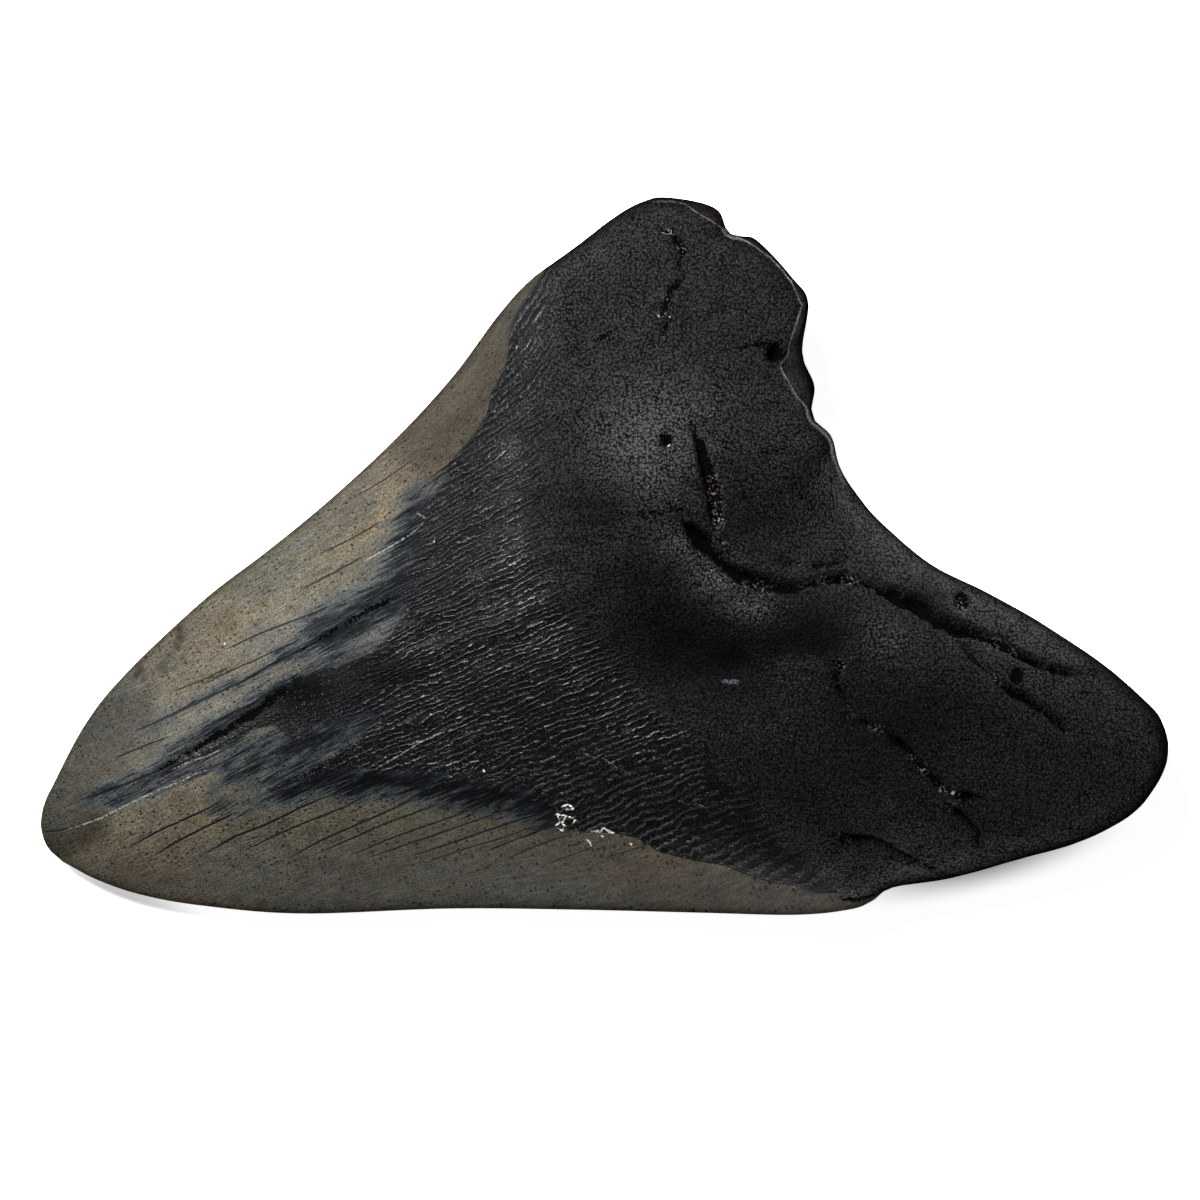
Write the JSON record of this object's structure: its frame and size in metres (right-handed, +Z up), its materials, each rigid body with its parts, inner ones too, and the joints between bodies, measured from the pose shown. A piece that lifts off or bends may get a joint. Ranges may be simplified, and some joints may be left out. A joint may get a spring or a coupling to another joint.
{
  "type": "megalodon tooth",
  "caption": "Black and grey-brown fossil tooth of a megalodon, lying on its flat side, with a wrinkled crown, a cracked two-lobed root and one broken lobe.",
  "frame": {"origin": "on the resting face, in the middle of the tooth's bounding box", "axes": "+X from the crown's tip towards the longer root lobe, +Y towards the shorter, broken root lobe, +Z up from the flat labial face"},
  "size_m": [0.13, 0.0828, 0.0277],
  "materials": {
    "fossil_tooth": "satin"
  },
  "bodies": {
    "root": {"tooth": "fossil_tooth"}
  },
  "joints": []
}
